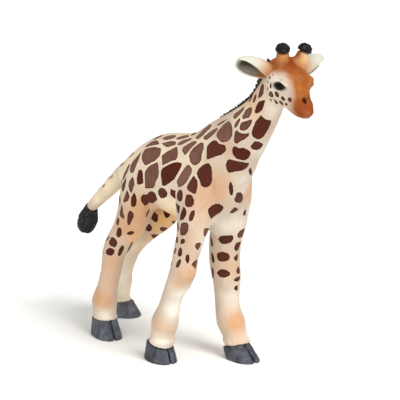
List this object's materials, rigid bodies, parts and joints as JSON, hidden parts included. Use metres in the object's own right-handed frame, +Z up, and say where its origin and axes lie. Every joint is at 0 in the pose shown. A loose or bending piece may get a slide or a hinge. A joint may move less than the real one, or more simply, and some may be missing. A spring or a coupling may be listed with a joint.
{
  "type": "toy giraffe calf figure",
  "caption": "Standing toy giraffe calf with a lowered head, moulded in rigid glued pieces: body, neck, head, ears, capped horns, mane, legs, hooves and tufted tail.",
  "frame": {"origin": "on the ground, under the middle of the figure's box", "axes": "+X from the tail to the muzzle, +Y to the calf's left, +Z up"},
  "size_m": [0.1244, 0.0332, 0.1114],
  "materials": {
    "hide": "matt painted vinyl, cream with brown spots",
    "face": "matt painted vinyl, airbrushed orange tan and white",
    "ears": "matt painted vinyl, off-white with a grey-brown hollow",
    "horn_caps": "satin black paint",
    "mane": "matt dark brown, combed strands",
    "tail_tuft": "matt near-black, combed strands",
    "hooves": "satin slate grey with paler grey dry-brushing",
    "eyes": "glossy black lacquer"
  },
  "bodies": {
    "root": {"torso": "hide", "neck": "hide", "head": "face", "right_ear": "ears", "left_ear": "ears", "right_horn": "face", "left_horn": "face", "right_horn_cap": "horn_caps", "left_horn_cap": "horn_caps", "right_eye": "eyes", "left_eye": "eyes", "mane": "mane", "tail": "hide", "tail_tuft": "tail_tuft", "front_right_leg": "hide", "front_left_leg": "hide", "rear_right_leg": "hide", "rear_left_leg": "hide", "front_right_hoof": "hooves", "front_left_hoof": "hooves", "rear_right_hoof": "hooves", "rear_left_hoof": "hooves"}
  },
  "joints": []
}
